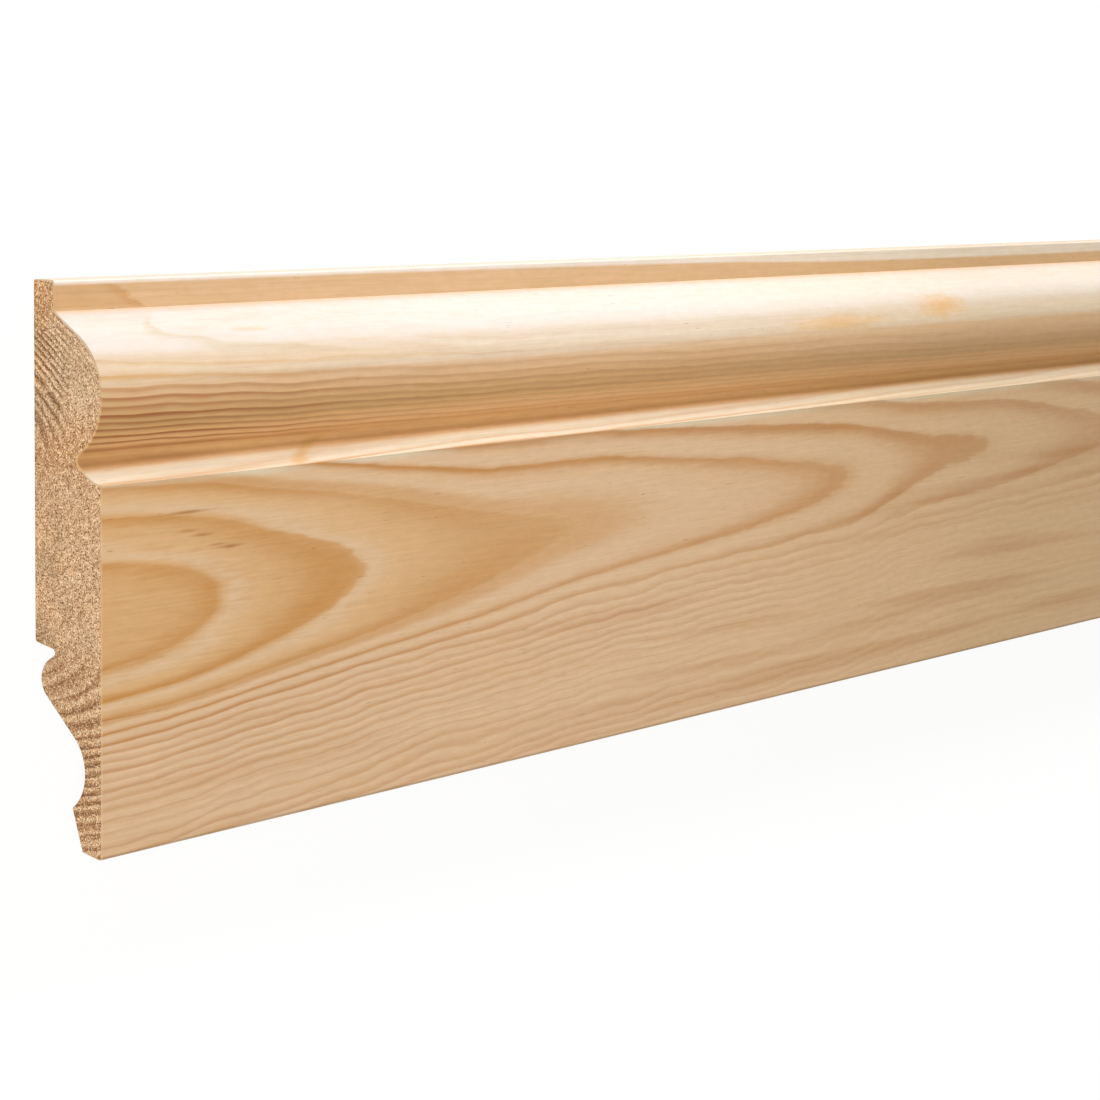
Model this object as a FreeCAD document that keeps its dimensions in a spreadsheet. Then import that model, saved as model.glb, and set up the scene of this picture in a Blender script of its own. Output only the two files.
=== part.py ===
import FreeCAD, Part
import math
import os
import Sketcher

# Reversible softwood skirting board, one length of stock lying on its back face.
# A torus moulding runs along the upper edge of the front face.
# An ogee moulding runs along the lower edge of the back face.
# X runs along the length, +Y runs across the width from the foot to the torus edge,
# +Z points out of the front face. The origin is in the middle of the back face.

doc = FreeCAD.newDocument("SkirtingBoard")

# Driving sizes in millimetres, angles in degrees.
# A "drop" is measured down the board from its upper edge and a "rise" up from its foot.
# A "depth" goes into the wood from the front face and a "recess" from the back face.
SIZES = [
    ("board_length", 2400),
    ("board_width", 119),
    ("board_thickness", 20.5),
    ("arris_radius", 0.6),
    ("foot_arris_radius", 1.0),
    # Torus moulding on the front.
    ("fillet_depth", 14.2),
    ("torus_radius", 14.3),
    ("torus_drop", 23),
    ("torus_slope", 31),
    ("quirk_depth", 7.4),
    ("quirk_radius", 1.4),
    ("hollow_radius", 14),
    ("moulding_drop", 41),
    # Ogee moulding on the back, each part placed from the one below it.
    ("foot_slope", 9),
    ("nose_slant", 19),
    ("nose_rise", 9.8),
    ("nose_depth", 9.2),
    ("nose_to_cove", 7.7),
    ("cove_radius", 9.6),
    ("cove_to_bulge", 18.5),
    ("bulge_recess", 1.8),
    ("bulge_radius", 4.9),
    ("groove_gap", 0.1),
    ("groove_recess", 6),
    ("groove_radius", 0.8),
    ("shoulder_slope", 10),
]

sizes = doc.addObject("Spreadsheet::Sheet", "Sizes")
for row, (alias, value) in enumerate(SIZES, start=1):
    sizes.set("A%d" % row, alias)
    sizes.set("B%d" % row, str(value))
    sizes.setAlias("B%d" % row, alias)
doc.recompute()

# The board is one extrusion of its cross-section.
body = doc.addObject("PartDesign::Body", "Body")
body.Label = "skirting_board"
plane = [feature for feature in body.Origin.OriginFeatures if feature.Role == "YZ_Plane"][0]
section = body.newObject("Sketcher::SketchObject", "Section")
section.AttachmentSupport = [(plane, "")]
section.MapMode = "FlatFace"

START, END, CENTRE = 1, 2, 3
ORIGIN = (-1, 1)
X_AXIS = -1


def arc(x, y, radius, first, last):
    """Add an arc about (x, y) that turns counter-clockwise between two angles."""
    circle = Part.Circle(FreeCAD.Vector(x, y, 0), FreeCAD.Vector(0, 0, 1), radius)
    return section.addGeometry(Part.ArcOfCircle(circle, math.radians(first), math.radians(last)), False)


def line(start, end):
    """Add a line between two ends, each a sketch point or an (element, end) pair."""
    ends = [FreeCAD.Vector(section.getPoint(*p)) if isinstance(p, tuple) else p for p in (start, end)]
    return section.addGeometry(Part.LineSegment(*ends), False)


# The outline is first drawn close to its place. Sketch x is the board's Y, and y its Z.
front = sizes.board_thickness
upper = sizes.board_width / 2
lower = -upper
arris = sizes.arris_radius
foot_arris = sizes.foot_arris_radius
fillet_level = front - sizes.fillet_depth

# Foot, nose, cove and bulge, from the front face round to the back.
nose_tip = FreeCAD.Vector(lower + sizes.nose_rise, front - sizes.nose_depth, 0)
cove_x = nose_tip.x + sizes.nose_to_cove
bulge_x = cove_x + sizes.cove_to_bulge
groove_x = bulge_x + sizes.bulge_radius + sizes.groove_gap + sizes.groove_radius
nose_lead = (sizes.nose_rise - arris) * math.tan(math.radians(sizes.nose_slant))
foot_front = arc(lower + foot_arris, front - foot_arris, foot_arris, 90, 180 + sizes.foot_slope)
foot_back = arc(lower + 2 * arris, nose_tip.y + nose_lead + arris, arris,
                180 + sizes.foot_slope, 270 - sizes.nose_slant)
foot_edge = line((foot_back, START), (foot_front, END))
nose = line(nose_tip, (foot_back, END))
tip_angle = math.acos(-sizes.nose_to_cove / sizes.cove_radius)
cove_y = nose_tip.y - sizes.cove_radius * math.sin(tip_angle)
cove = arc(cove_x, cove_y, sizes.cove_radius, 43, math.degrees(tip_angle))
bulge = arc(bulge_x, sizes.bulge_recess + sizes.bulge_radius, sizes.bulge_radius, 223, 325)
ogee_slope = line((cove, START), (bulge, START))

# Groove under the shoulder, back face, upper edge and fillet.
groove = arc(groove_x, sizes.groove_recess - sizes.groove_radius, sizes.groove_radius,
             sizes.shoulder_slope, 145)
groove_side = line((bulge, END), (groove, END))
shoulder_arris = arc(groove_x + 2 * sizes.groove_radius + arris, arris, arris,
                     180 + sizes.shoulder_slope, 270)
shoulder = line((shoulder_arris, START), (groove, START))
back_arris = arc(upper - arris, arris, arris, 270, 360)
back_face = line((shoulder_arris, END), (back_arris, START))
fillet_arris = arc(upper - arris, fillet_level - arris, arris, 0, 90)
upper_edge = line((back_arris, END), (fillet_arris, START))

# Torus, the quirk under it and the hollow that runs out on the flat face.
quirk_level = front - sizes.quirk_depth + sizes.quirk_radius
reach = sizes.torus_radius + sizes.quirk_radius
lean = math.asin((quirk_level - front + sizes.torus_radius) / reach)
torus = arc(upper - sizes.torus_drop, front - sizes.torus_radius, sizes.torus_radius,
            sizes.torus_slope, 180 - math.degrees(lean))
torus_quirk = arc(upper - sizes.torus_drop - reach * math.cos(lean), quirk_level, sizes.quirk_radius,
                  225, 360 - math.degrees(lean))
torus_top = section.getPoint(torus, START)
ramp_run = (torus_top.y - fillet_level) * math.tan(math.radians(sizes.torus_slope))
ramp_foot = FreeCAD.Vector(torus_top.x + ramp_run, fillet_level, 0)
fillet = line((fillet_arris, END), ramp_foot)
torus_ramp = line(ramp_foot, (torus, START))
hollow_step = (sizes.hollow_radius - sizes.quirk_radius) / math.sqrt(2)
quirk_centre = section.getPoint(torus_quirk, CENTRE)
hollow = arc(quirk_centre.x + hollow_step, quirk_centre.y + hollow_step, sizes.hollow_radius, 195, 225)
face = line(FreeCAD.Vector(upper - sizes.moulding_drop, front, 0), (foot_front, START))


def smooth(*ends):
    section.addConstraint(Sketcher.Constraint("Tangent", *ends))


def meet(*ends):
    section.addConstraint(Sketcher.Constraint("Coincident", *ends))


def size(name, kind, ends, now, formula):
    """Add a named dimension at the drawn value and bind it to the sheet."""
    index = section.addConstraint(Sketcher.Constraint(kind, *ends, now))
    section.renameConstraint(index, name)
    section.setExpression("Constraints." + name, formula)


def radius(name, shape, cell):
    size(name, "Radius", (shape,), section.Geometry[shape].Radius, "Sizes." + cell)


def slope(name, shape, formula):
    start, end = section.getPoint(shape, START), section.getPoint(shape, END)
    size(name, "Angle", (shape,), math.atan2(end.y - start.y, end.x - start.x), "(%s) * 1 deg" % formula)


def along_y(name, start, end, formula):
    size(name, "DistanceX", start + end, section.getPoint(*end).x - section.getPoint(*start).x, formula)


def along_z(name, start, end, formula):
    size(name, "DistanceY", start + end, section.getPoint(*end).y - section.getPoint(*start).y, formula)


# How the outline hangs together.
smooth(face, END, foot_front, START)
smooth(foot_front, END, foot_edge, END)
smooth(foot_edge, START, foot_back, START)
smooth(foot_back, END, nose, END)
meet(nose, START, cove, END)
smooth(cove, START, ogee_slope, START)
smooth(ogee_slope, END, bulge, START)
smooth(bulge, END, groove_side, START)
smooth(groove_side, END, groove, END)
smooth(groove, START, shoulder, END)
smooth(shoulder, START, shoulder_arris, START)
smooth(shoulder_arris, END, back_face, START)
smooth(back_face, END, back_arris, START)
smooth(back_arris, END, upper_edge, START)
smooth(upper_edge, END, fillet_arris, START)
smooth(fillet_arris, END, fillet, START)
meet(fillet, END, torus_ramp, START)
smooth(torus_ramp, END, torus, START)
smooth(torus, END, torus_quirk, END)
smooth(torus_quirk, START, hollow, END)
meet(hollow, START, face, START)
section.addConstraint(Sketcher.Constraint("PointOnObject", back_face, START, X_AXIS))
for level in (back_face, fillet, face):
    section.addConstraint(Sketcher.Constraint("Horizontal", level))
section.addConstraint(Sketcher.Constraint("Vertical", upper_edge))

# Overall sizes.
along_z("thickness", ORIGIN, (face, START), "Sizes.board_thickness")
along_y("upper_half", ORIGIN, (upper_edge, START), "Sizes.board_width / 2")
along_y("lower_half", (foot_front, CENTRE), ORIGIN, "Sizes.board_width / 2 - Sizes.foot_arris_radius")
radius("foot_front_arris", foot_front, "foot_arris_radius")
radius("foot_back_arris", foot_back, "arris_radius")
radius("shoulder_arris", shoulder_arris, "arris_radius")
radius("back_arris", back_arris, "arris_radius")
radius("fillet_arris", fillet_arris, "arris_radius")

# Torus moulding. Its crown is flush with the flat face.
along_z("fillet_depth", (fillet, START), (face, START), "Sizes.fillet_depth")
along_y("torus_drop", (torus, CENTRE), (upper_edge, START), "Sizes.torus_drop")
along_z("torus_crown", (torus, CENTRE), (face, START), "Sizes.torus_radius")
radius("torus_radius", torus, "torus_radius")
slope("torus_slope", torus_ramp, "90 + Sizes.torus_slope")
radius("quirk_radius", torus_quirk, "quirk_radius")
along_z("quirk_depth", (torus_quirk, CENTRE), (face, START), "Sizes.quirk_depth - Sizes.quirk_radius")
radius("hollow_radius", hollow, "hollow_radius")
along_y("moulding_drop", (face, START), (upper_edge, START), "Sizes.moulding_drop")

# Ogee moulding, taken step by step up from the foot.
slope("foot_slope", foot_edge, "90 + Sizes.foot_slope")
slope("nose_slant", nose, "180 - Sizes.nose_slant")
along_y("nose_rise", (foot_front, CENTRE), (nose, START), "Sizes.nose_rise - Sizes.foot_arris_radius")
along_z("nose_depth", (nose, START), (face, START), "Sizes.nose_depth")
along_y("nose_to_cove", (nose, START), (cove, CENTRE), "Sizes.nose_to_cove")
radius("cove_radius", cove, "cove_radius")
along_y("cove_to_bulge", (cove, CENTRE), (bulge, CENTRE), "Sizes.cove_to_bulge")
along_z("bulge_recess", ORIGIN, (bulge, CENTRE), "Sizes.bulge_recess + Sizes.bulge_radius")
radius("bulge_radius", bulge, "bulge_radius")
along_y("bulge_to_groove", (bulge, CENTRE), (groove, CENTRE),
        "Sizes.bulge_radius + Sizes.groove_gap + Sizes.groove_radius")
along_z("groove_recess", ORIGIN, (groove, CENTRE), "Sizes.groove_recess - Sizes.groove_radius")
radius("groove_radius", groove, "groove_radius")
slope("shoulder_slope", shoulder, "90 + Sizes.shoulder_slope")

# The section is run to the board's length, half to each side of the middle.
board = body.newObject("PartDesign::Pad", "Board")
board.Profile = section
board.SideType = "Symmetric"
board.setExpression("Length", "Sizes.board_length")
body.Placement = FreeCAD.Placement()
doc.recompute()

for thing in doc.Objects:
    if "Invalid" in thing.State or "Error" in thing.State:
        raise RuntimeError(thing.Name + " failed: " + ", ".join(thing.State))
if body.Shape.isNull() or not body.Shape.isValid():
    raise RuntimeError(body.Label + " has no valid shape")

os.makedirs("parts", exist_ok=True)
body.Shape.exportStep("parts/" + body.Label + ".step")
box = body.Shape.BoundBox
print(body.Label, "%.3f x %.3f x %.3f mm" % (box.XLength, box.YLength, box.ZLength))
print("section %.1f sq mm, volume %.0f cu mm" % (body.Shape.Volume / sizes.board_length, body.Shape.Volume))
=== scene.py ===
# %% [markdown]
# # A length of reversible skirting board
#
# The object is one planed length of pine. A torus moulding runs along the upper
# edge of its front face and an ogee along the lower edge of its back face, so that
# either face can show in a room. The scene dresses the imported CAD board, which is
# already lying on its back on the floor, and gives it its grain.
#
# The scene is in metres, in that same frame. The section and the grain are worked
# out in millimetres, as a joiner would.

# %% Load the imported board
import math

import bpy
from mathutils import Matrix, Vector


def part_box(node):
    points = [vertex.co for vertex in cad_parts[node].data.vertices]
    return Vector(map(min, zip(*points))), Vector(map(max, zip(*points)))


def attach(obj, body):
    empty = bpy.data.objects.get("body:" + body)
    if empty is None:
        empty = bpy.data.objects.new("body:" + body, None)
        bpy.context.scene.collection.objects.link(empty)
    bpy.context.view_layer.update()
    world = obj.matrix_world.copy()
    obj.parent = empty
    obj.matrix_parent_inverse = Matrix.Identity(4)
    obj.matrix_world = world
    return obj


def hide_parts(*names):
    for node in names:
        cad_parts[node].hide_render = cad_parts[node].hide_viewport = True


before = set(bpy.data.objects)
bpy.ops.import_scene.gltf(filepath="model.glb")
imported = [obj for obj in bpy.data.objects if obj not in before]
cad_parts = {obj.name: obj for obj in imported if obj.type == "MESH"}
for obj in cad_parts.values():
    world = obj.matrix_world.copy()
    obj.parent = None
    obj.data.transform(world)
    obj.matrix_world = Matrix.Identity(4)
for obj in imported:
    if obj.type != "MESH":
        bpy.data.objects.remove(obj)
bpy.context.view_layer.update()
NODE = "skirting_board"
low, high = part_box(NODE)
print("board from", [round(c, 4) for c in low], "to", [round(c, 4) for c in high])

# %% [markdown]
# ## The section
#
# On the real board four spinning cutters each shape one side, so every edge is a
# sweep of one outline. The outline is short straight lines and arcs that flow into
# each other. It could be drawn by hand as a Bezier curve, but a drawing made of
# true arcs keeps each radius exact, and the shine along a moulding shows any lump.
#
# The helpers below walk round the outline. An arc is given by its centre, its
# radius and the two angles that it runs between.

# %% Walk along lines and arcs
MM = 0.001


def heading(angle):
    """The direction at an angle in degrees, counted from +Y towards +Z."""
    return Vector((math.cos(math.radians(angle)), math.sin(math.radians(angle))))


def along_arc(centre, radius, first, last, step):
    """Points on an arc, in the order in which a walk round the board meets them."""
    count = max(2, math.ceil(abs(last - first) / step))
    return [centre + radius * heading(first + (last - first) * i / count) for i in range(count + 1)]


def crossing_tangent(from_centre, to_centre, radii, turn):
    """The heading of a straight run that crosses from one arc to another of opposite bend."""
    step = to_centre - from_centre
    lean = math.degrees(math.acos(turn * radii / step.length))
    return math.degrees(math.atan2(step.y, step.x)) - 90 + lean


print("a quarter turn takes", len(along_arc(Vector((0, 0)), 1, 0, 90, 12)), "points at 12 degrees a step")

# %% [markdown]
# The sizes are those of the CAD board, in millimetres and degrees. The walk starts
# on the front face above the foot, goes round the foot to the ogee, along the back,
# up the upper edge and over the torus. A small arc needs fewer points than a large
# one, so each kind has its own step.

# %% Sizes of the section
THICK = 20.5
WIDTH = 119.0
HALF_WIDTH = WIDTH / 2
ARRIS = 0.6
FOOT_ARRIS, FOOT_SLOPE = 1.0, 9
NOSE_TIP, NOSE_SLANT = Vector((-49.7, 11.3)), 19
NOSE_TO_COVE, COVE_RADIUS = 7.7, 9.6
BULGE_CENTRE, BULGE_RADIUS = Vector((-23.5, 6.7)), 4.9
GROOVE_CENTRE, GROOVE_RADIUS = Vector((-17.7, 5.2)), 0.8
SHOULDER_SLOPE = 10
FILLET_LEVEL = 6.3
TORUS_CENTRE, TORUS_RADIUS, TORUS_SLOPE = Vector((36.5, 6.2)), 14.3, 31
QUIRK_LEVEL, QUIRK_RADIUS = 14.5, 1.4
HOLLOW_RADIUS, HOLLOW_END = 14.0, Vector((18.5, 20.5))
TORUS_STEP, HOLLOW_STEP, OGEE_STEP, QUIRK_STEP, ARRIS_STEP, GROOVE_STEP = 2.5, 3, 4, 10, 12, 15
print("section", WIDTH, "mm wide and", THICK, "mm thick")

# %% Foot and nose
foot_centre = Vector((FOOT_ARRIS - HALF_WIDTH, THICK - FOOT_ARRIS))
foot_turn = 180 + FOOT_SLOPE
nose_turn = 270 - NOSE_SLANT
foot_run, nose_run = heading(foot_turn + 90), heading(nose_turn + 90)
foot_end = foot_centre + FOOT_ARRIS * heading(foot_turn)
gap = NOSE_TIP - foot_end + ARRIS * (heading(foot_turn) - heading(nose_turn))
foot_length = gap.cross(nose_run) / foot_run.cross(nose_run)
foot_back = foot_end + foot_length * foot_run - ARRIS * heading(foot_turn)
foot = along_arc(foot_centre, FOOT_ARRIS, 90, foot_turn, ARRIS_STEP)
foot += along_arc(foot_back, ARRIS, foot_turn, nose_turn, ARRIS_STEP)
print("foot edge", round(foot_length, 3), "mm between its two arrises")

# %% Ogee: cove, bulge, groove and shoulder
cove_start = math.degrees(math.acos(-NOSE_TO_COVE / COVE_RADIUS))
cove_centre = NOSE_TIP - COVE_RADIUS * heading(cove_start)
cove_run = crossing_tangent(cove_centre, BULGE_CENTRE, COVE_RADIUS + BULGE_RADIUS, 1)
bulge_run = crossing_tangent(BULGE_CENTRE, GROOVE_CENTRE, BULGE_RADIUS + GROOVE_RADIUS, -1)
ogee = along_arc(cove_centre, COVE_RADIUS, cove_start, cove_run + 90, OGEE_STEP)
ogee += along_arc(BULGE_CENTRE, BULGE_RADIUS, cove_run - 90, bulge_run - 90, OGEE_STEP)
ogee += along_arc(GROOVE_CENTRE, GROOVE_RADIUS, bulge_run + 90, SHOULDER_SLOPE, GROOVE_STEP)
shoulder_tilt = math.radians(SHOULDER_SLOPE)
shoulder_drop = ogee[-1].y - ARRIS * (1 - math.sin(shoulder_tilt))
shoulder_start = ogee[-1] + shoulder_drop / math.cos(shoulder_tilt) * heading(SHOULDER_SLOPE - 90)
shoulder_centre = shoulder_start + ARRIS * heading(SHOULDER_SLOPE)
ogee += along_arc(shoulder_centre, ARRIS, 180 + SHOULDER_SLOPE, 270, ARRIS_STEP)
print("ogee ends", round(ogee[-1].x + HALF_WIDTH, 2), "mm above the foot")

# %% Upper edge, fillet and torus
edge = HALF_WIDTH - ARRIS
upper = along_arc(Vector((edge, ARRIS)), ARRIS, 270, 360, ARRIS_STEP)
upper += along_arc(Vector((edge, FILLET_LEVEL - ARRIS)), ARRIS, 0, 90, ARRIS_STEP)
torus_top = TORUS_CENTRE + TORUS_RADIUS * heading(TORUS_SLOPE)
ramp = (torus_top.y - FILLET_LEVEL) * math.tan(math.radians(TORUS_SLOPE))
upper.append(Vector((torus_top.x + ramp, FILLET_LEVEL)))
reach = TORUS_RADIUS + QUIRK_RADIUS
lean = math.degrees(math.asin((QUIRK_LEVEL - TORUS_CENTRE.y) / reach))
upper += along_arc(TORUS_CENTRE, TORUS_RADIUS, TORUS_SLOPE, 180 - lean, TORUS_STEP)
print("ramp of", round(ramp, 2), "mm between the fillet and the torus")

# %% Quirk and hollow
quirk_centre = TORUS_CENTRE + reach * heading(180 - lean)
to_end = HOLLOW_END - quirk_centre
inner = HOLLOW_RADIUS - QUIRK_RADIUS
swing = math.acos((HOLLOW_RADIUS ** 2 - inner ** 2 - to_end.length_squared) / (2 * inner * to_end.length))
quirk_end = math.degrees(math.atan2(to_end.y, to_end.x) + swing)
hollow_centre = quirk_centre - inner * heading(quirk_end)
hollow_end = math.degrees(math.atan2(*reversed(HOLLOW_END - hollow_centre))) % 360
upper += along_arc(quirk_centre, QUIRK_RADIUS, 360 - lean, quirk_end, QUIRK_STEP)[1:]
upper += along_arc(hollow_centre, HOLLOW_RADIUS, quirk_end, hollow_end, HOLLOW_STEP)[1:]
outline = foot + ogee + upper
print("outline of", len(outline), "points")

# %% [markdown]
# ## A shorthand for nodes
#
# The board's shape and its grain are both node trees. Laid out by hand, each would
# be a wall of small Math nodes. Here a node's result is wrapped in a class, so that
# `a * b + c` in the script adds a Multiply and an Add node to the tree and links
# them. The trees open in Blender's editors like any others.

# %% Place a node and feed its sockets


def place(tree, kind, **settings):
    """Add a node and set its options."""
    node = tree.nodes.new(kind)
    for name, value in settings.items():
        setattr(node, name, value)
    return node


def tell(made, tree):
    """Print what a cell made and how far its tree has grown."""
    print(f"{made}: {len(tree.nodes)} nodes so far")


def feed(socket, value):
    """Give a socket another node's result, or a plain value."""
    if isinstance(value, Result):
        value = value.socket
    if isinstance(value, bpy.types.NodeSocket):
        socket.id_data.links.new(value, socket)
    else:
        socket.default_value = value


def work_out(operation, *values, clamp=False):
    """One Math node. It takes results or plain numbers and returns its result."""
    tree = next(v.tree for v in values if isinstance(v, Result))
    node = place(tree, "ShaderNodeMath", operation=operation, use_clamp=clamp)
    for socket, value in zip(node.inputs, values):
        feed(socket, value)
    return Result(node.outputs[0])


# %% Wrap a result so that arithmetic works on it


class Result:
    """What a node gives. Arithmetic on it adds Math nodes to its tree."""

    def __init__(self, socket):
        self.socket = socket
        self.tree = socket.id_data

    def __add__(self, other):
        return work_out("ADD", self, other)

    def __sub__(self, other):
        return work_out("SUBTRACT", self, other)

    def __rsub__(self, other):
        return work_out("SUBTRACT", other, self)

    def __mul__(self, other):
        return work_out("MULTIPLY", self, other)

    def __truediv__(self, other):
        return work_out("DIVIDE", self, other)

    def __pow__(self, other):
        return work_out("POWER", self, other)

    def __neg__(self):
        return work_out("MULTIPLY", self, -1)

    def __abs__(self):
        return work_out("ABSOLUTE", self)


# %% Larger steps in the same shorthand


def least(one, other):
    """The smaller of two values."""
    return work_out("MINIMUM", one, other)


def most(one, other):
    """The larger of two values."""
    return work_out("MAXIMUM", one, other)


def limit(value):
    """A value kept between 0 and 1."""
    return work_out("ADD", value, 0, clamp=True)


def root(value):
    """The square root of a value."""
    return work_out("SQRT", value)


def split(vector):
    """The X, Y and Z of a vector."""
    node = place(vector.tree, "ShaderNodeSeparateXYZ")
    feed(node.inputs[0], vector)
    return [Result(socket) for socket in node.outputs]


def join(*values):
    """A vector made of three values."""
    tree = next(v.tree for v in values if isinstance(v, Result))
    node = place(tree, "ShaderNodeCombineXYZ")
    for socket, value in zip(node.inputs, values):
        feed(socket, value)
    return Result(node.outputs[0])


def vector_step(operation, vector, other=None):
    """One Vector Math node. other is a vector, or a number where the step is SCALE."""
    node = place(vector.tree, "ShaderNodeVectorMath", operation=operation)
    feed(node.inputs[0], vector)
    if other is not None:
        feed(node.inputs["Scale" if operation == "SCALE" else 1], other)
    return Result(node.outputs["Value" if operation == "LENGTH" else "Vector"])


# %% [markdown]
# ## The board, run out by Geometry Nodes
#
# A moulding is the plainest job there is for Curve to Mesh: a closed profile is
# carried along a straight line. The profile is a loop of edges, and each of its
# points also carries the direction that faces out of the wood. The tree uses that
# direction at the two ends, where it draws the outline in by the width of the
# arris, because a sawn end has a fine broken edge that catches the light.
#
# On a line along +X the node lays a profile's X towards -Y and its Y towards -Z, so
# the outline is drawn turned half round. The cuts along the length do nothing for
# the shape. They keep the faces from being thin strips as long as the board.

# %% Draw the profile
profile_mesh = bpy.data.meshes.new("board_profile")
corners = [Vector((0, p.x, p.y)) * MM for p in outline]
loop = [(i, (i + 1) % len(corners)) for i in range(len(corners))]
profile_mesh.from_pydata([(-c.y, -c.z, 0) for c in corners], loop, [])
outward = profile_mesh.attributes.new("outward", "FLOAT_VECTOR", "POINT")
SHARPEST_MITRE = 0.5
for i, point in enumerate(outline):
    before = (point - outline[i - 1]).normalized()
    after = (outline[(i + 1) % len(outline)] - point).normalized()
    out = Vector((before.y + after.y, -before.x - after.x)).normalized()
    mitre = 1 / max(SHARPEST_MITRE, out.dot(Vector((before.y, -before.x))))
    outward.data[i].vector = (0, out.x * mitre, out.y * mitre)
profile = bpy.data.objects.new("board_profile", profile_mesh)
bpy.context.scene.collection.objects.link(profile)
print("profile is", round(max(c.y for c in corners) - min(c.y for c in corners), 4), "m wide")

# %% Start the tree that runs the board out
run = bpy.data.node_groups.new("Run a moulding", "GeometryNodeTree")
run.interface.new_socket("Board", in_out="OUTPUT", socket_type="NodeSocketGeometry")
INPUTS = {"Profile": "NodeSocketObject", "Length": "NodeSocketFloat", "End arris": "NodeSocketFloat",
          "Cuts": "NodeSocketInt", "Wood": "NodeSocketMaterial"}
for name, kind in INPUTS.items():
    run.interface.new_socket(name, in_out="INPUT", socket_type=kind)
wanted = place(run, "NodeGroupInput").outputs
end_arris, cuts = Result(wanted["End arris"]), Result(wanted["Cuts"])
half_length = Result(wanted["Length"]) * 0.5
spine = place(run, "GeometryNodeCurvePrimitiveLine")
feed(spine.inputs["Start"], join(-half_length, 0, 0))
feed(spine.inputs["End"], join(half_length, 0, 0))
cut_spine = place(run, "GeometryNodeResampleCurve")
feed(cut_spine.inputs["Curve"], spine.outputs["Curve"])
feed(cut_spine.inputs["Count"], cuts)
tell("spine with " + ", ".join(INPUTS), run)

# %% [markdown]
# The first and last cut stay at the very ends, the next ones stand one arris in from
# them, and the rest are spread evenly between.

# %% Space the cuts along the spine
station = Result(place(run, "GeometryNodeInputIndex").outputs[0])
share = (station - 1) / (cuts - 3)
even = (half_length - end_arris) * (share * 2 - 1)
kept = least(most(even, -half_length), half_length)
set_stations = place(run, "GeometryNodeSetPosition")
feed(set_stations.inputs["Geometry"], cut_spine.outputs["Curve"])
feed(set_stations.inputs["Position"], join(kept, 0, 0))
tell("cuts", run)

# %% Carry the profile along
fetch = place(run, "GeometryNodeObjectInfo", transform_space="ORIGINAL")
feed(fetch.inputs["Object"], wanted["Profile"])
to_curve = place(run, "GeometryNodeMeshToCurve")
feed(to_curve.inputs["Mesh"], fetch.outputs["Geometry"])
sweep = place(run, "GeometryNodeCurveToMesh")
feed(sweep.inputs["Curve"], set_stations.outputs["Geometry"])
feed(sweep.inputs["Profile Curve"], to_curve.outputs["Curve"])
feed(sweep.inputs["Fill Caps"], True)
tell("sweep", run)

# %% Draw the two ends in and finish the tree
AT_END = 0.00001
facing = place(run, "GeometryNodeInputNamedAttribute", data_type="FLOAT_VECTOR")
feed(facing.inputs["Name"], "outward")
draw_in = vector_step("SCALE", Result(facing.outputs["Attribute"]), -end_arris)
vertex_x = split(Result(place(run, "GeometryNodeInputPosition").outputs[0]))[0]
set_ends = place(run, "GeometryNodeSetPosition")
feed(set_ends.inputs["Geometry"], sweep.outputs["Mesh"])
feed(set_ends.inputs["Selection"], work_out("GREATER_THAN", abs(vertex_x), half_length - AT_END))
feed(set_ends.inputs["Offset"], draw_in)
realize = place(run, "GeometryNodeRealizeInstances")
feed(realize.inputs["Geometry"], set_ends.outputs["Geometry"])
finish_wood = place(run, "GeometryNodeSetMaterial")
feed(finish_wood.inputs["Geometry"], realize.outputs["Geometry"])
feed(finish_wood.inputs["Material"], wanted["Wood"])
feed(place(run, "NodeGroupOutput").inputs["Board"], finish_wood.outputs["Geometry"])
print("tree of", len(run.nodes), "nodes")

# %% [markdown]
# A modifier runs the tree on an empty carrier, and the finished board is then kept as
# a plain mesh. It is shaded smooth except where two faces meet at more than
# SMOOTH_BELOW degrees. The arcs turn less than that at each step, so they shine
# evenly, and the corners between them stay crisp.

# %% Run the board out
BOARD_LENGTH = 2.4
END_ARRIS = 0.00025
CUTS = 63
SMOOTH_BELOW = 24
pine = bpy.data.materials.new("planed_pine")
pine.use_nodes = True
carrier = bpy.data.objects.new("board_run", bpy.data.meshes.new("board_run"))
bpy.context.scene.collection.objects.link(carrier)
runner = carrier.modifiers.new("Run a moulding", "NODES")
runner.node_group = run
given = {"Profile": profile, "Length": BOARD_LENGTH, "End arris": END_ARRIS, "Cuts": CUTS, "Wood": pine}
for socket in run.interface.items_tree:
    if socket.name in given and socket.in_out == "INPUT":
        runner[socket.identifier] = given[socket.name]
bpy.context.view_layer.update()
evaluated = carrier.evaluated_get(bpy.context.evaluated_depsgraph_get())
board_mesh = bpy.data.meshes.new_from_object(evaluated)
board_mesh.name = "skirting_board_planed"
bpy.data.objects.remove(carrier)
bpy.data.objects.remove(profile)
board_mesh.shade_smooth()
board_mesh.set_sharp_from_angle(angle=math.radians(SMOOTH_BELOW))
board = bpy.data.objects.new("skirting_board_planed", board_mesh)
bpy.context.scene.collection.objects.link(board)
print("board of", len(board_mesh.polygons), "faces, from",
      [round(min(v.co[i] for v in board_mesh.vertices), 4) for i in range(3)], "to",
      [round(max(v.co[i] for v in board_mesh.vertices), 4) for i in range(3)])

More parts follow.
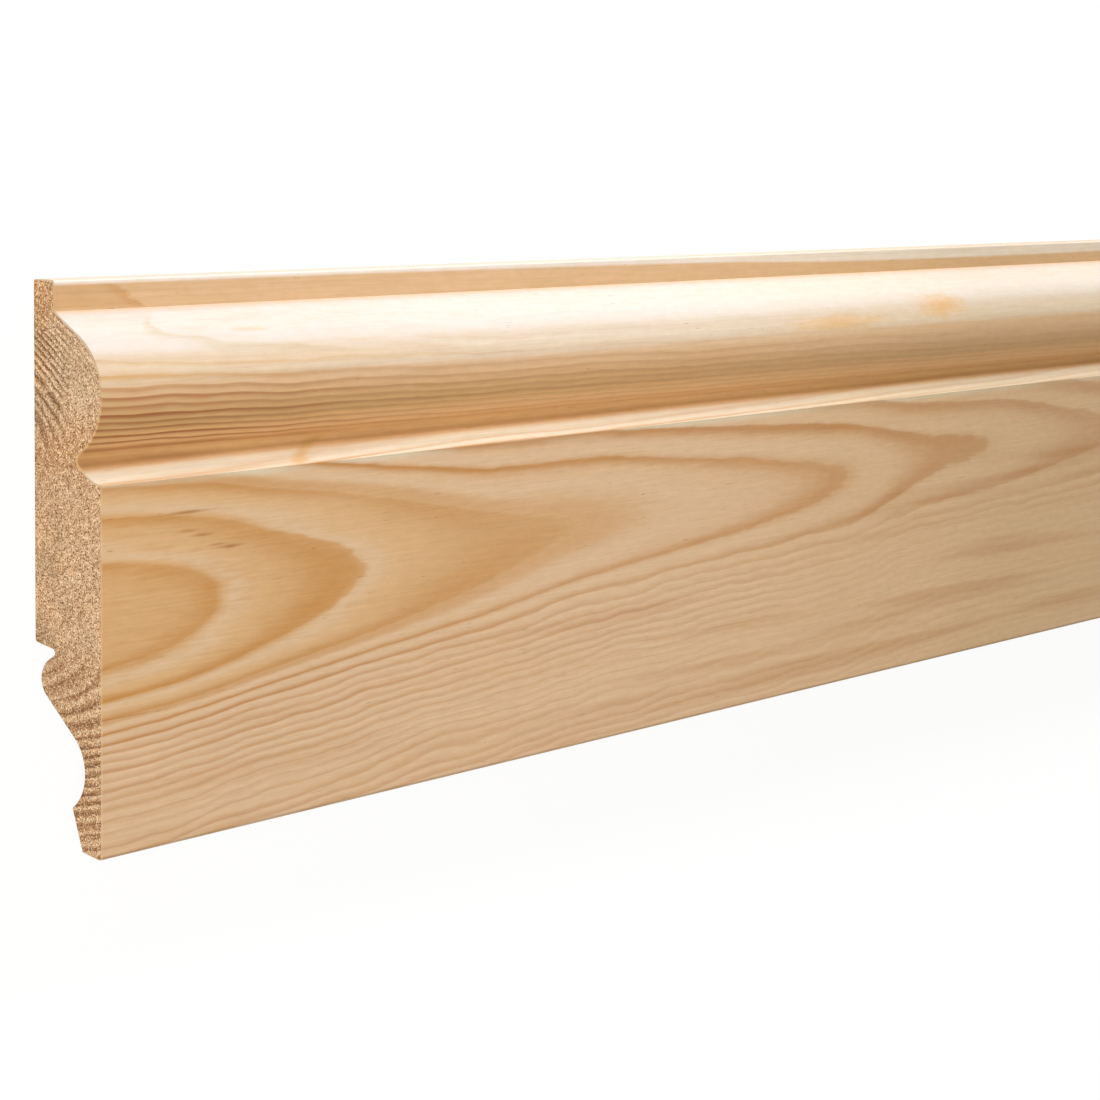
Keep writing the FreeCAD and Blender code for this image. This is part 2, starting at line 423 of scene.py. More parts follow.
# %% [markdown]
# ## The pine
#
# A board is cut out of a cone of growth rings. Where the cutter runs nearly level
# with the rings they come out as tall arches, and where it crosses them they come
# out as close straight lines. On the end the same rings show as arcs. A flat
# drawing of arches would not agree with the end, so the rings are worked out in
# the solid: how far is this bit of wood from the middle of the tree?
#
# The pith, the middle of the tree, lies about 60 mm behind the front face and
# slowly wanders away from it. Every surface of the board then gets its own figure
# from the one rule: arches on the face, fine lines under the torus and arcs on the
# end. Marks that the rule can't know, such as a blush over a hidden knot, are laid
# on afterwards.

# %% Colours and cloudy noise for the pine


def colour(red, green, blue):
    """A colour as a picture gives it, 0 to 255, turned into the light that it stands for."""
    channels = [c / 255 for c in (red, green, blue)]
    return tuple(c / 12.92 if c < 0.04045 else ((c + 0.055) / 1.055) ** 2.4 for c in channels) + (1,)


def noise(point, grain, detail=2.0, roughness=0.5, shift=(0, 0, 0)):
    """Cloudy values about 0. grain is the size of a cloud in mm along, up and through."""
    stretch = place(point.tree, "ShaderNodeMapping")
    feed(stretch.inputs["Vector"], point)
    feed(stretch.inputs["Scale"], [1 / g for g in grain])
    feed(stretch.inputs["Location"], shift)
    cloud = place(point.tree, "ShaderNodeTexNoise")
    feed(cloud.inputs["Vector"], stretch.outputs[0])
    feed(cloud.inputs["Scale"], 1)
    feed(cloud.inputs["Detail"], detail)
    feed(cloud.inputs["Roughness"], roughness)
    return Result(cloud.outputs[0]) - 0.5


# %% Curves, ramps and mixes for the pine


def drawn(value, points):
    """A curve drawn through (value, result) points."""
    first, last = points[0][0], points[-1][0]
    results = [p[1] for p in points]
    bottom, top = min(results), max(results)
    curve = place(value.tree, "ShaderNodeFloatCurve")
    feed(curve.inputs["Value"], work_out("DIVIDE", value - first, last - first, clamp=True))
    line = curve.mapping.curves[0]
    for i, (at, result) in enumerate(points):
        x, y = (at - first) / (last - first), (result - bottom) / (top - bottom)
        if i == 0:
            line.points[0].location = (x, y)
        elif i == len(points) - 1:
            line.points[-1].location = (x, y)
        else:
            line.points.new(x, y)
    curve.mapping.update()
    return work_out("MULTIPLY_ADD", Result(curve.outputs[0]), top - bottom, bottom)


def between(value, start, end):
    """0 before start, 1 after end, and a soft ramp between them. start may be the larger one."""
    node = place(value.tree, "ShaderNodeMapRange", interpolation_type="SMOOTHSTEP")
    feed(node.inputs["Value"], value)
    feed(node.inputs["From Min"], start)
    feed(node.inputs["From Max"], end)
    return Result(node.outputs[0])


def mix(share, first, second, kind="RGBA"):
    """The first colour where share is 0 and the second where it is 1."""
    node = place(share.tree, "ShaderNodeMix", data_type=kind)
    feed(node.inputs["Factor"], share)
    feed(node.inputs["A"], first)
    feed(node.inputs["B"], second)
    return Result(node.outputs["Result"])


def fade(share, first, second):
    """The first number where share is 0 and the second where it is 1."""
    return mix(share, first, second, "FLOAT")


# %% [markdown]
# The pattern is measured in millimetres from the near end and from the foot, the
# way that a joiner would lay a tape on the board. The Mapping node does that once.
# From here on `along` is the distance from the near end, `up` the height above the
# foot and `forward` the height above the back.

# %% Lay a tape on the board
wood = pine.node_tree
wood.nodes.clear()
coordinates = place(wood, "ShaderNodeTexCoord").outputs
tape = place(wood, "ShaderNodeMapping")
feed(tape.inputs["Vector"], coordinates["Object"])
feed(tape.inputs["Scale"], [1 / MM] * 3)
feed(tape.inputs["Location"], (BOARD_LENGTH / 2 / MM, HALF_WIDTH, 0))
here = Result(tape.outputs[0])
along, up, forward = split(here)
print("tape of", round(BOARD_LENGTH / MM), "x", WIDTH, "x", THICK, "mm")

# %% [markdown]
# ### Growth rings
#
# Curves hold what a tree decides for itself: how high on the board the pith runs,
# how far behind the face it lies, and how wide each year's ring grew. LEAN makes an
# arch fuller above the pith's line than below it. DEPTH_SHARE is 1 where the rings
# curve through the thickness as true circles do, and less where the sawn end shows
# them running straighter through it, at the foot and in the torus. TORUS_SHIFT moves
# the lines along the torus a little against those of the face.

# %% Where the pith runs
PITH_HEIGHT = [(0, 51), (20, 51.5), (36, 52), (80, 53), (110, 53.6), (140, 55), (170, 56.6), (240, 57.2),
               (280, 58), (320, 60.4), (350, 61), (400, 61), (470, 59), (600, 54), (760, 50), (920, 55),
               (1080, 63), (1260, 66), (1450, 60), (1650, 52), (1850, 50), (2050, 57), (2230, 64), (2400, 66)]
PITH_DEPTH = [(0, 59.9), (18, 60.25), (34, 60.9), (50, 61.7), (70, 62.55), (90, 63.3), (110, 63.9),
              (140, 64.55), (170, 64.95), (200, 65.4), (240, 65.92), (275, 66.42), (320, 67.6),
              (348, 67.83), (400, 68.7), (500, 69.9), (600, 70.6), (700, 70.3), (800, 69.3), (900, 68.9),
              (1000, 69.6), (1150, 72.0), (1300, 74.2), (1450, 75.6), (1600, 75.9), (1750, 75.1),
              (1900, 75.3), (2100, 77.8), (2400, 81.0)]
LEAN = [(-62, 1.05), (-50, 1.14), (-45, 1.24), (-35, 1.365), (-27, 1.4), (-20, 1.28), (-12, 1.03),
        (-5, 0.98), (5, 0.98), (12, 0.94), (20, 0.82), (30, 0.84), (45, 0.92), (70, 0.97)]
DEPTH_SHARE = [(0, 0.14), (20, 0.16), (34, 0.24), (44, 0.6), (52, 1.0), (70, 1.0), (80, 0.6), (92, 0.75),
               (119, 0.8)]
print("pith", PITH_DEPTH[0][1], "to", PITH_DEPTH[-1][1], "mm behind the face")

# %% How wide the rings grew
RING_COUNT = [(20, -21), (40, -10), (58.9, 0), (60.88, 1), (62.86, 2), (64.78, 3), (66.42, 4), (67.83, 5),
              (69.13, 6), (70.35, 7), (71.55, 8), (72.7, 9), (80, 15.2), (100, 32), (140, 65)]
TORUS_SHIFT = [(0, 0.16), (20, 0.5), (40, 0.6), (60, 0.39), (100, -0.03), (150, 0.54), (200, 0.73),
               (250, 0.52), (300, 0.79), (350, 1.15), (384, 0.74), (450, 0.4), (520, 0), (2400, 0)]
print("rings", RING_COUNT[0][1], "to", RING_COUNT[-1][1], "lie", RING_COUNT[0][0], "to", RING_COUNT[-1][0],
      "mm from the pith")

# %% [markdown]
# Cloudy noise, stretched along the grain, makes the lines waver. The sways are in
# millimetres of height, and the wavers in rings. The wide arches waver least. The
# close rings below them ripple more, and so do those on the torus.

# %% Count the rings from the pith
SLOW_SWAY, QUICK_SWAY = 2.0, 1.3
QUICK_WAVER, ARCH_WAVER, RIPPLE, TORUS_WAVER = 0.14, 0.06, 1.7, 0.5
FIBRE_WAVER, FINE_FIBRE_WAVER = 0.035, 0.06
rings = bpy.data.node_groups.new("Growth rings", "ShaderNodeTree")
rings.interface.new_socket("Place", in_out="INPUT", socket_type="NodeSocketVector")
rings.interface.new_socket("Ring", in_out="OUTPUT", socket_type="NodeSocketFloat")
spot = Result(place(rings, "NodeGroupInput").outputs[0])
spot_along, spot_up, spot_forward = split(spot)
slow_wave = noise(spot, (240, 46, 46), 1.0)
quick_wave = noise(spot, (52, 11, 11), shift=(7, 3, 1))
height = spot_up + slow_wave * SLOW_SWAY + quick_wave * QUICK_SWAY
off_pith = height - drawn(spot_along, PITH_HEIGHT)
depth = (THICK - spot_forward) * drawn(spot_up, DEPTH_SHARE)
behind = drawn(spot_along, PITH_DEPTH) - depth
from_pith = root(behind * behind + off_pith * off_pith * drawn(off_pith, LEAN))
count = drawn(from_pith, RING_COUNT)
tell("ring count", rings)

# %% Let the rings waver
count = count + between(spot_up, 80, 92) * drawn(spot_along, TORUS_SHIFT) + quick_wave * QUICK_WAVER
fibre_wave = noise(spot, (9, 1.2, 1.2), 1.0, shift=(2, 9, 4))
count = count + fibre_wave * (between(count, 2.5, 4.5) * FINE_FIBRE_WAVER + FIBRE_WAVER)
count = count + noise(spot, (7, 3.4, 3.4), 1.0, shift=(8, 4, 6)) * ARCH_WAVER
close_rings = between(count, 3.6, 6.5) * between(spot_up, 52, 40)
count = count + noise(spot, (22, 15, 15), 1.0, shift=(5, 5, 1)) * close_rings * RIPPLE
on_moulding = between(spot_up, 80, 86)
count = count + noise(spot, (16, 4, 4), 1.0, shift=(3, 6, 2)) * on_moulding * TORUS_WAVER
feed(place(rings, "NodeGroupOutput").inputs[0], count)
print("ring group of", len(rings.nodes), "nodes")

# %% [markdown]
# ### Early and late wood
#
# Each ring starts pale and soft in spring and darkens to a hard tan line in late
# summer. Then the next spring begins at once, so the line is soft on its inner side
# and sharp on its outer side. A colour ramp on the fraction of the ring count
# draws exactly that.
#
# LATE_START says how late in each year the dark wood begins: a power on the season
# above 1 makes its band narrower. A band is also narrower beside an arch than at
# the arch's tip.

# %% Split the ring count into year and season
ring_group = place(wood, "ShaderNodeGroup", node_tree=rings)
feed(ring_group.inputs[0], here)
ring = Result(ring_group.outputs[0])
year = work_out("FLOOR", ring)
LATE_START = [(-20, 1.0), (-1, 1.2), (0, 2.4), (1, 0.82), (2, 0.7), (3, 2.1), (4, 1.1), (5, 1.0), (6, 0.8),
              (11, 0.9), (12, 1.3), (13, 4.5), (14, 2.2), (16, 0.9), (60, 0.9)]
ARCH_MIDDLE = 54
NARROWER_BESIDE = 0.8
beside = between(abs(up - ARCH_MIDDLE), 8, 15) * between(ring, 3.6, 2.8)
season = work_out("FRACT", ring) ** (drawn(year, LATE_START) * (beside * NARROWER_BESIDE + 1))
tell("year and season", wood)

# %% Darken each year's late wood
LATE_WOOD = [(0, 0.55), (0.05, 0.2), (0.13, 0.02), (0.36, 0.06), (0.54, 0.3), (0.7, 0.72), (0.84, 1.0),
             (0.95, 0.95), (1, 0.55)]
ramp_node = place(wood, "ShaderNodeValToRGB")
ramp_node.color_ramp.interpolation = "LINEAR"
steps = ramp_node.color_ramp.elements
for i, (at, level) in enumerate(LATE_WOOD):
    step = steps[i] if i < 2 else steps.new(at)
    step.position, step.color = at, (level, level, level, 1)
feed(ramp_node.inputs[0], season)
late = Result(ramp_node.outputs[0])
print("late wood on a ramp of", len(steps), "steps")

# %% [markdown]
# Some years make a bolder line than others, and cloudy patches weaken a line here
# and there. The lines are also bolder under the torus and near the foot than in the
# middle of the face. They fade over the first 400 mm from the near end and then come
# back. The curves across the board count from the foot, but only on the front: the
# back takes the values of the middle of the face.

# %% How bold each year's line is
BOLDNESS = [(-20, 0.55), (-1, 0.6), (0, 0.72), (1, 0.76), (2, 0.68), (3, 0.85), (4, 0.8), (5, 0.55),
            (6, 0.45), (7, 0.65), (8, 0.42), (9, 0.55), (10, 0.45), (11, 0.5), (12, 0.45), (13, 0.34),
            (14, 0.4), (16, 0.42), (20, 0.55), (24, 0.4), (30, 0.6), (60, 0.5)]
BOLD_ACROSS = [(0, 1.15), (34, 1.2), (42, 1.05), (68, 1.05), (73, 1.25), (77.6, 1.25), (78.5, 0.6),
               (82.5, 0.45), (84, 0.9), (89, 1.3), (96, 1.5), (99, 1.6), (102.5, 1.4), (104.5, 0.7),
               (107, 0.3), (112.8, 0.2), (119, 0.2)]
ARCHES_ALONG = [(0, 0.82), (30, 0.9), (55, 1.0), (90, 1.0), (140, 0.88), (384, 0.85), (600, 0.85),
                (2400, 0.85)]
BELOW_ALONG = [(0, 1.0), (80, 0.88), (140, 0.56), (200, 0.42), (260, 0.34), (384, 0.16), (600, 0.65),
               (2400, 0.8)]
TORUS_ALONG = [(0, 1.1), (45, 1.0), (90, 0.6), (200, 0.34), (384, 0.2), (600, 0.7), (2400, 0.7)]
PATCHINESS = 0.7
PLAIN_HEIGHT = 60
up_front = (up - PLAIN_HEIGHT) * between(forward, 0.2, 0.3) + PLAIN_HEIGHT
patches = noise(here, (120, 26, 26), shift=(4, 1, 2))
bold = (patches * PATCHINESS + drawn(year, BOLDNESS)) * drawn(up_front, BOLD_ACROSS)
bold_on_face = fade(between(up, 36, 50), drawn(along, BELOW_ALONG), drawn(along, ARCHES_ALONG))
bold = bold * fade(between(up_front, 79, 84), bold_on_face, drawn(along, TORUS_ALONG))
line_share = limit(late * bold)
tell("bold and faint years", wood)

# %% [markdown]
# ### Heartwood and sapwood
#
# The inner rings are heartwood, which is warmer and darker than the sapwood round
# it. The arches sit in heartwood, and both mouldings are cut in sapwood. The very
# first wood of each spring is the palest of all.

# %% Colours of the early wood
INNER, HEART, SAP = colour(204, 162, 110), colour(208, 169, 119), colour(213, 181, 144)
SPRING, SPRING_SHARE = colour(212, 181, 143), 0.8
sapwood = most(between(ring, 1.6, 4.4), between(up_front, 76, 82))
tint = noise(here, (90, 14, 14), 3.0)
early_colour = mix(limit(tint + sapwood), HEART, SAP)
early_colour = mix(between(ring, 1.15, 0.7), early_colour, INNER)
spring = between(season, 0.42, 0.12) * (between(season, 0, 0.08) * 0.7 + 0.3)
spring = spring * between(ring, 0.95, 1.15) * between(ring, 5.2, 4.2)
early_colour = mix(spring * SPRING_SHARE, early_colour, SPRING)
tell("early colours", wood)

# %% [markdown]
# The rings and fibres are cut at another angle on the torus than on the face, so its
# wood is creamy in the hollow, warm underneath, a grey gold on the front and a little
# warm again on the fillet. The top of the torus and the ramp are painted pale: partly
# paler sapwood and partly a painted highlight, where the light falls strongest. Each
# colour has a curve across the board that says how much of it there is.

# %% Colours across the torus
FRONT, FRONT_FAR = colour(206, 184, 152), colour(206, 189, 164)
# The pale colour is partly paler sapwood and partly a painted highlight on the top of the torus and the ramp.
CREAM, PALE_HIGHLIGHT, WARM = colour(211, 197, 168), colour(205, 195, 180), colour(217, 172, 115)
FRONT_ACROSS = [(0, 0), (94, 0), (98, 0.5), (100, 1), (104.6, 1), (106.6, 0), (119, 0)]
CREAM_ACROSS = [(0, 0), (76, 0), (78.4, 1), (80.4, 0.9), (81.6, 0), (119, 0)]
PALE_HIGHLIGHT_ACROSS = [(0, 0), (102, 0), (104.5, 0.6), (107.5, 1), (111.2, 1), (112.3, 0.3), (112.8, 0), (119, 0)]
WARM_ACROSS = [(0, 0), (80, 0), (81.6, 0.95), (83, 0.9), (86, 0.7), (89, 0.9), (92, 0.8), (94, 0.6),
               (98, 0.2), (100, 0), (112, 0), (113, 0.4), (119, 0.4)]
front_colour = mix(between(along, 30, 150), FRONT, FRONT_FAR)
layers = [(FRONT_ACROSS, front_colour), (CREAM_ACROSS, CREAM), (PALE_HIGHLIGHT_ACROSS, PALE_HIGHLIGHT), (WARM_ACROSS, WARM)]
for across, layer in layers:
    early_colour = mix(drawn(up_front, across), early_colour, layer)
print(len(layers), "colours laid across the torus")

# %% Colours of the late wood
LATE_HEART, LATE_SAP = colour(184, 129, 62), colour(178, 127, 74)
LATE_UNDER, LATE_TOP = colour(166, 105, 60), colour(190, 148, 86)
late_colour = mix(between(ring, 2.5, 6), LATE_HEART, LATE_SAP)
late_colour = mix(between(up_front, 80, 84), late_colour, LATE_UNDER)
late_colour = mix(between(up_front, 94, 101), late_colour, LATE_TOP)
tell("late colours", wood)

# %% [markdown]
# Two more things darken the flat face. Inside the arches short tan streaks run with
# the fibres. Below them, where the close rings lose themselves along the board,
# several together blur into broad soft bands.

# %% Streaks inside the arches and bands below them
STREAK_SHARE = 1.3
BANDS_ALONG = [(0, 0.1), (100, 0.15), (200, 0.26), (300, 0.36), (384, 0.36), (600, 0.2), (2400, 0.2)]
streaks = most(noise(here, (15, 1.5, 1.5), 3.0, 0.65, shift=(6, 2, 8)), 0) * between(ring, 2.5, 1.0)
late_share = limit(streaks * STREAK_SHARE + line_share)
bands = between(noise(here, (130, 6, 6), 1.0, shift=(2, 8, 3)), 0.0, 0.2)
bands = bands * between(ring, 4.0, 6.0) * between(up_front, 76, 70)
late_share = limit(bands * drawn(along, BANDS_ALONG) + late_share)
planed = mix(late_share, early_colour, late_colour)
tell("streaks and bands", wood)

# %% [markdown]
# ### Blushes, scars and resin
#
# A hidden knot leaves an orange blush, the planer leaves a few dark scars beside the
# first arch, and a resin canal now and then leaves a short brown dash. A spot is
# given by its middle, its reach along, up and through, and its strength. A little
# mottle roughens its rim, so that none comes out as a clean oval.

# %% Lay soft spots on the board
BLUSHES = [((324, 103.4, 18.4), (12, 3.4, 3.4), 1.0), ((268, 100.4, 19.8), (22, 2.0, 2.0), 0.7),
           ((49, 107.7, 14.4), (6, 0.6, 0.8), 0.4), ((842, 34, 20.5), (9, 3, 4), 0.7),
           ((1536, 92, 20.5), (12, 3, 3), 0.6), ((2010, 47, 20.5), (10, 3.4, 3), 0.6)]
SCARS = [((24, 70.6, 20.5), (8, 0.34, 3), 0.8), ((24, 66.6, 20.5), (2.6, 0.3, 3), 0.6),
         ((28, 65.4, 20.5), (3.4, 0.36, 3), 0.7), ((33, 63, 20.5), (2.6, 0.3, 3), 0.6),
         ((36.5, 62.2, 20.5), (4, 0.4, 3), 0.8), ((5, 29.6, 20.5), (11, 0.24, 3), 0.6)]
mottle = noise(here, (5, 1.7, 1.7), 3.0, 0.65, shift=(9, 1, 4))


def soft_spots(spots, raggedness):
    """How strongly the spots show at each place."""
    strongest = 0.0
    for centre, spread, strength in spots:
        away = vector_step("LENGTH", vector_step("DIVIDE", vector_step("SUBTRACT", here, centre), spread))
        near = between(mottle * raggedness + away, 1.6, 0.0) * strength
        strongest = most(near, strongest)
    return strongest


planed = mix(soft_spots(BLUSHES, 1.2), planed, colour(210, 166, 104))
planed = mix(soft_spots(SCARS, 0.8), planed, colour(160, 106, 46))
print(len(BLUSHES), "blushes and", len(SCARS), "scars")

# %% [markdown]
# ### Marks on the mouldings
#
# Where the cutter leaves one ring for the next on a narrow moulding, the change
# shows as a slanting edge of colour and not as a line. The fillet is tan up to such
# an edge near its end, and a short tan streak crosses the hollow. Each is a band
# about a leaning line: the distance past the line decides the colour.

# %% Tan end of the fillet
TAN_EDGE, TAN_UP, TAN_LEAN = 24, 113, 10 / 6
past_tan = along + up * TAN_LEAN - (TAN_UP * TAN_LEAN + TAN_EDGE) + mottle * 6
tan_end = between(past_tan, 1.2, -1.2) * 0.34
tan_line = between(past_tan, 1.4, -0.6) * between(past_tan, -4.5, -0.8) * 0.25
on_fillet = between(up, 112.6, 113.2)
planed = mix((tan_end + tan_line) * on_fillet, planed, colour(190, 136, 70))
print("fillet tan over the first", TAN_EDGE, "mm")

# %% Streak across the hollow
HOLLOW_STREAK_ALONG, HOLLOW_STREAK_UP, HOLLOW_STREAK_LEAN = 64.5, 80.4, 2.6
streak_line = HOLLOW_STREAK_ALONG - HOLLOW_STREAK_UP * HOLLOW_STREAK_LEAN
past_streak = up_front * -HOLLOW_STREAK_LEAN + (along - streak_line) + mottle * 5
hollow_streak = between(past_streak, -3.6, -0.6) * between(past_streak, 3.4, 0.4)
hollow_streak = hollow_streak * between(up_front, 77.8, 78.4) * between(up_front, 84, 82)
planed = mix(hollow_streak * 0.62, planed, colour(198, 152, 80))
print("streak", HOLLOW_STREAK_ALONG, "mm along the hollow")

# %% [markdown]
# Along the top of the torus one ring is cut level and opens as a long thin arch. Its
# lower branch bends away from the tip like a parabola. The upper one soon fades. The
# distance to the line is divided by the line's steepness, which keeps the line as
# wide on its branches as at its tip.

# %% Arch along the top of the torus
TIP_ALONG, TIP_UP = 21.5, 109.4
below_tip, above_tip = most(TIP_UP - up_front, 0), most(up_front - TIP_UP, 0)
bend = below_tip * below_tip + above_tip * above_tip * 0.7
steepness = root(below_tip * below_tip * 4 + 1)
wobble = noise(here, (14, 4, 4), 1.0, shift=(4, 4, 2)) * 3
past_arch = (along - TIP_ALONG - bend) / steepness + wobble
arch = between(past_arch, -2.2, 0.0) * between(past_arch, 1.1, 0.0)
arch = arch * (between(above_tip, 0, 2.4) * -0.9 + 1) * between(along, 95, 60)
on_top = between(up_front, 101, 103.5) * between(up_front, 113.0, 112.4)
planed = mix(arch * on_top * 0.42, planed, colour(180, 158, 104))
print("tip of the arch", TIP_ALONG, "mm along and", TIP_UP, "mm up")

# %% [markdown]
# The arris between the fillet and the upper edge catches the light as a pale strip.
# In the picture that strip gets wider with distance, where a straight arris would
# get narrower. So the strip is painted: a pale colour laid on the fillet as a painted
# highlight, and the width curve says how far down the fillet it reaches, in
# millimetres.

# %% Painted highlight at the upper edge, and resin dashes
HIGHLIGHT_WIDTH = [(0, 1.0), (60, 1.05), (120, 1.2), (240, 2.0), (384, 3.3), (480, 2.0), (600, 0.8), (2400, 0.8)]
below_highlight = WIDTH - up_front - drawn(along, HIGHLIGHT_WIDTH)
# A painted highlight: the pale strip along the fillet below the arris.
planed = mix(between(below_highlight, 0.4, -0.4), planed, colour(234, 220, 204))
# The upper edge itself is painted pale too, a painted sheen where the light grazes it.
planed = mix(between(up_front, 118.7, 118.9), planed, colour(208, 192, 170))
dashes = between(noise(here, (4.6, 0.3, 0.3), 0.0, shift=(3, 7, 9)), 0.33, 0.38)
planed = mix(dashes * 0.5, planed, colour(150, 96, 52))
print("strip up to", max(width for _, width in HIGHLIGHT_WIDTH), "mm wide")

# %% [markdown]
# ### Tone, painted light and shade, and hue
#
# Close to, planed pine is made of fine lengthwise fibres, some a little lighter and
# some a little darker. On top of that its tone drifts along the board. Across the
# board the curve is painted light and shade: it lightens the foot arris, the hollow
# and the underside of the torus against their shade, and darkens the top of the
# torus against its highlight and the foot of the ramp as a painted crease shade. The
# tones are factors near 1 on the finished colour. A second set changes only the
# blue, and a fifth as much of the green, which turns the wood warmer or cooler.

# %% Curves of tone, painted light and shade, and hue
TONE_ALONG = [(0, 0.99), (40, 1.01), (100, 1.06), (180, 1.09), (260, 1.06), (330, 1.0), (384, 0.95),
              (520, 0.98), (900, 1.02), (1400, 0.98), (1900, 1.02), (2400, 0.98)]
# Painted light and shade across the mouldings, as factors on the colour: lighter at the foot arris, in the
# hollow and under the torus, darker over the top of the torus and at the foot of the ramp.
LIGHT_AND_SHADE_ACROSS = [(0, 1.6), (0.5, 1.02), (1.2, 1.0), (4, 1.0), (20, 1.0), (60, 1.0), (74, 1.0), (77.8, 1.0),
               (78.6, 0.93), (79.7, 0.99), (80.7, 1.17), (81.6, 1.02), (83.9, 1.02), (85.5, 1.15), (88, 1.18),
               (89.4, 1.06), (91, 1.06), (93, 1.02), (94.5, 1.0), (96, 0.96), (97.5, 0.95), (99.5, 0.98),
               (102.3, 0.9), (104, 0.84), (106.5, 0.85), (108.5, 0.95), (111.2, 0.95), (112.3, 0.84),
               (112.8, 0.9), (113.2, 0.93), (119, 0.93)]
UNDER_TONE = [(0, 0.98), (100, 1.01), (220, 1.03), (300, 1.02), (384, 1.09), (600, 1.02), (2400, 1.02)]
HOLLOW_TONE = [(0, 1.02), (140, 0.98), (220, 0.93), (384, 0.9), (600, 0.95), (2400, 0.95)]
FACE_BLUE = [(0, 1.03), (150, 1.02), (260, 0.94), (384, 0.88), (600, 0.95), (2400, 0.95)]
UNDER_BLUE = [(0, 0.94), (60, 0.98), (220, 1.03), (384, 1.07), (600, 1.04), (2400, 1.04)]
print("tone along the board from", min(tone for _, tone in TONE_ALONG), "to",
      max(tone for _, tone in TONE_ALONG))

# %% Tone, painted light and shade, and hue on the planed faces
FIBRE_TONE, MOTTLE_TONE, MOTTLE_BLUE, GREEN_SHARE = 0.3, 0.16, 0.3, 0.2
fibres = noise(here, (22, 0.5, 0.5), 3.0, 0.6, shift=(1, 5, 2))
tone = mottle * MOTTLE_TONE + fibres * FIBRE_TONE + 1
# Here the painted light and shade across the mouldings is multiplied into the tone.
tone = tone * drawn(along, TONE_ALONG) * drawn(up_front, LIGHT_AND_SHADE_ACROSS)
under_torus = between(up_front, 82, 84.5) * between(up_front, 97.5, 94.5)
in_hollow = between(up_front, 77.5, 78.2) * between(up_front, 82, 81)
tone = tone * fade(under_torus, 1.0, drawn(along, UNDER_TONE))
tone = tone * fade(in_hollow, 1.0, drawn(along, HOLLOW_TONE))
blue = mottle * MOTTLE_BLUE + fade(under_torus, drawn(along, FACE_BLUE), drawn(along, UNDER_BLUE))
hue = join(1.0, blue * GREEN_SHARE + (1 - GREEN_SHARE), blue)
planed = vector_step("SCALE", vector_step("MULTIPLY", planed, hue), tone)
tell("planed wood", wood)

# %% [markdown]
# ### The sawn end
#
# A saw cuts across the fibres and leaves them as a mat of open ends. It is duller
# and rougher than the planed faces, speckled with broken pale fibres and dark
# pores, and the late wood stands out as thin dark bands. The surface direction
# tells the two apart: only the ends face along the board.
#
# The base colour is greyish in the middle and in the torus, and tan near the foot,
# behind the hollow and at the upper edge. A wide smear shifts it here and there.

# %% Base of the sawn ends
facing_along = abs(split(Result(coordinates["Normal"]))[0])
sawn = between(facing_along, 0.75, 0.9)
END_WARM = [(0, 0.9), (36, 0.85), (46, 0.45), (76, 0.5), (84, 1.0), (88, 0.9), (93, 0.35), (104, 0.1),
            (111, 0.7), (114, 1.0), (119, 1.0)]
SMEAR_SHARE = 1.2
smear = noise(here, (4, 6, 6), shift=(2, 4, 8))
tan_share = limit(smear * SMEAR_SHARE + drawn(up, END_WARM))
end_colour = mix(tan_share, colour(211, 178, 143), colour(196, 146, 98))
by_back = between(up, 91, 98) * between(forward, 4.8, 2.6)
end_colour = mix(by_back * 0.7, end_colour, colour(206, 150, 88))
tell("base of the ends", wood)

# %% [markdown]
# The saw tears the dark bands, so noise breaks them up. They show in the torus and
# in the ogee and fade towards the front and the middle, where the rings lie nearly
# level with the face. Between two bands the wood stands up as a ridge, and its pale
# colour is a painted highlight on the lit side of that ridge.

# %% Rings on the sawn ends
END_LINES = [(0, 1.0), (34, 1.0), (44, 0.5), (56, 0.1), (78, 0.1), (86, 0.9), (92, 1.25), (104, 1.2),
             (110, 0.6), (119, 0.2)]
FRONT_FADE = [(0, 0), (36, 0), (44, 0.7), (84, 0.95), (95, 0.9), (101, 0.65), (108, 0.4), (114, 0), (119, 0)]
RIDGE_HIGHLIGHT_SHARE = 0.4
torn = noise(here, (4, 1.5, 1.5), roughness=0.6, shift=(1, 7, 3))
to_front = between(forward, 7, 12) * drawn(up, FRONT_FADE)
lines_here = drawn(up, END_LINES)
end_late = limit(torn * 1.1 + smear * SMEAR_SHARE + 0.85) * late
end_late = limit(end_late * lines_here) * (1 - to_front)
# Painted highlight: the ridges between the bands are painted paler, as if lit.
lit_ridges = between(late, 0.3, 0.0) * lines_here * (1 - to_front) * RIDGE_HIGHLIGHT_SHARE
end_colour = mix(lit_ridges, end_colour, colour(234, 206, 170))
end_line_colour = mix(tan_share, colour(114, 76, 43), colour(126, 80, 42))
end_colour = mix(end_late, end_colour, end_line_colour)
tell("rings on the ends", wood)

# %% Specks and clouds on the sawn ends
SPECK_SHARE, CLUMPING, QUIET_IN_LINES = 0.95, 0.4, 0.55
CLOUDY_ACROSS = [(0, 0.1), (36, 0.2), (46, 0.8), (76, 0.8), (86, 0.7), (104, 0.8), (110, 0.4), (119, 0.4)]
fluff = noise(here, (1.2, 0.4, 0.34), 1.0, 0.6)
pores = noise(here, (1.2, 0.42, 0.36), 1.0, 0.6, shift=(5, 5, 5))
clumps = noise(here, (3, 1.3, 1.1), roughness=0.6, shift=(7, 2, 5)) * CLUMPING
speck_share = (1 - end_late * QUIET_IN_LINES) * SPECK_SHARE
end_colour = mix(between(clumps + fluff, 0.01, 0.14) * speck_share, end_colour, colour(250, 226, 192))
end_colour = mix(between(clumps + pores, -0.02, -0.15) * speck_share, end_colour, colour(114, 72, 38))
